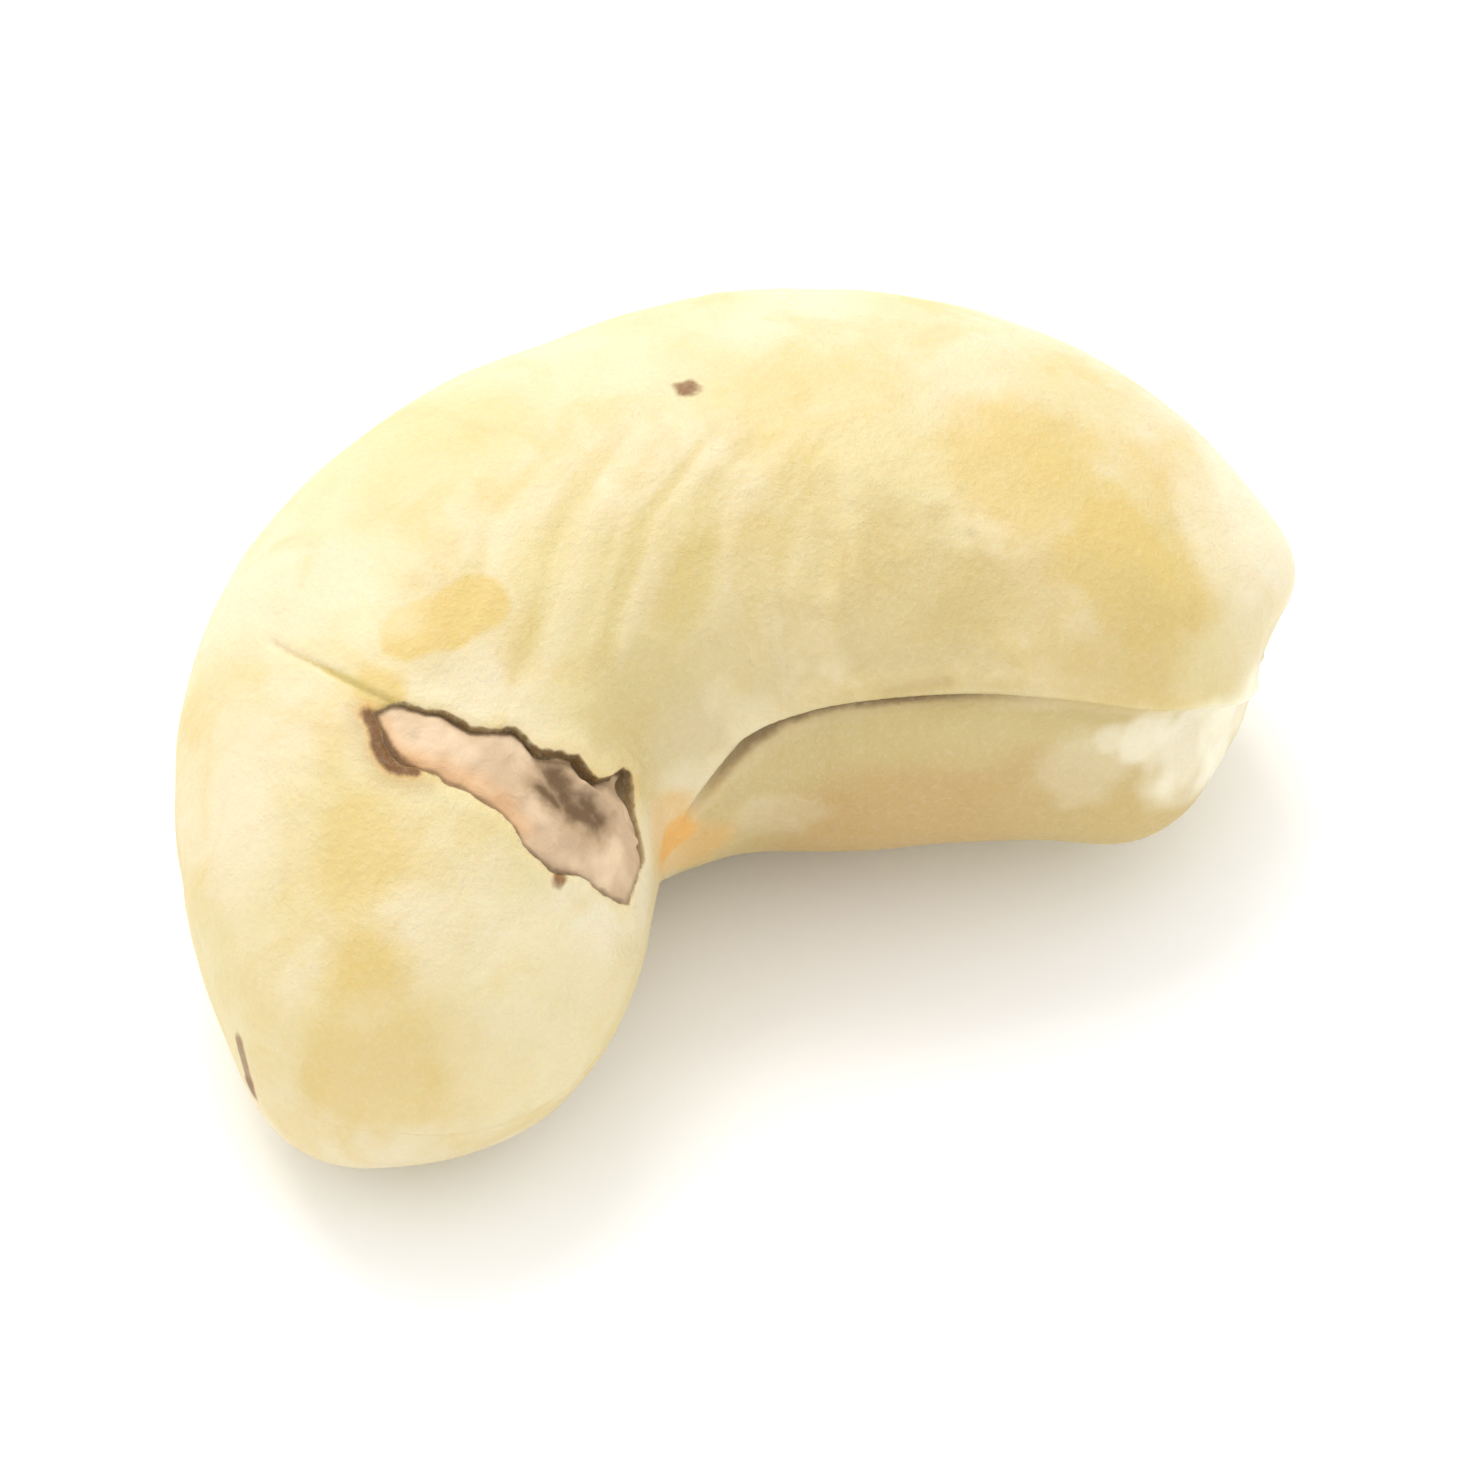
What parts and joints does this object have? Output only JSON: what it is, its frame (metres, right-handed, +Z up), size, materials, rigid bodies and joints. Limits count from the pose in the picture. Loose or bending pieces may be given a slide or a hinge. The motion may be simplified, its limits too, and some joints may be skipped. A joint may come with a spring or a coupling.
{
  "type": "cashew nut",
  "caption": "Whole shelled cashew kernel curled on its side, with a seam between its halves and a split that holds a scrap of brown skin.",
  "frame": {"origin": "under the middle of the nut's box, on the surface that it rests on", "axes": "+X from the split lobe to the whole lobe along the nut, +Y from the hollow of the curl to its back, +Z up through the side that it lies on"},
  "size_m": [0.0249, 0.0156, 0.0106],
  "materials": {
    "kernel_flesh": "satin",
    "testa": "matte"
  },
  "bodies": {
    "root": {"kernel": "kernel_flesh", "testa_scrap": "testa"}
  },
  "joints": []
}
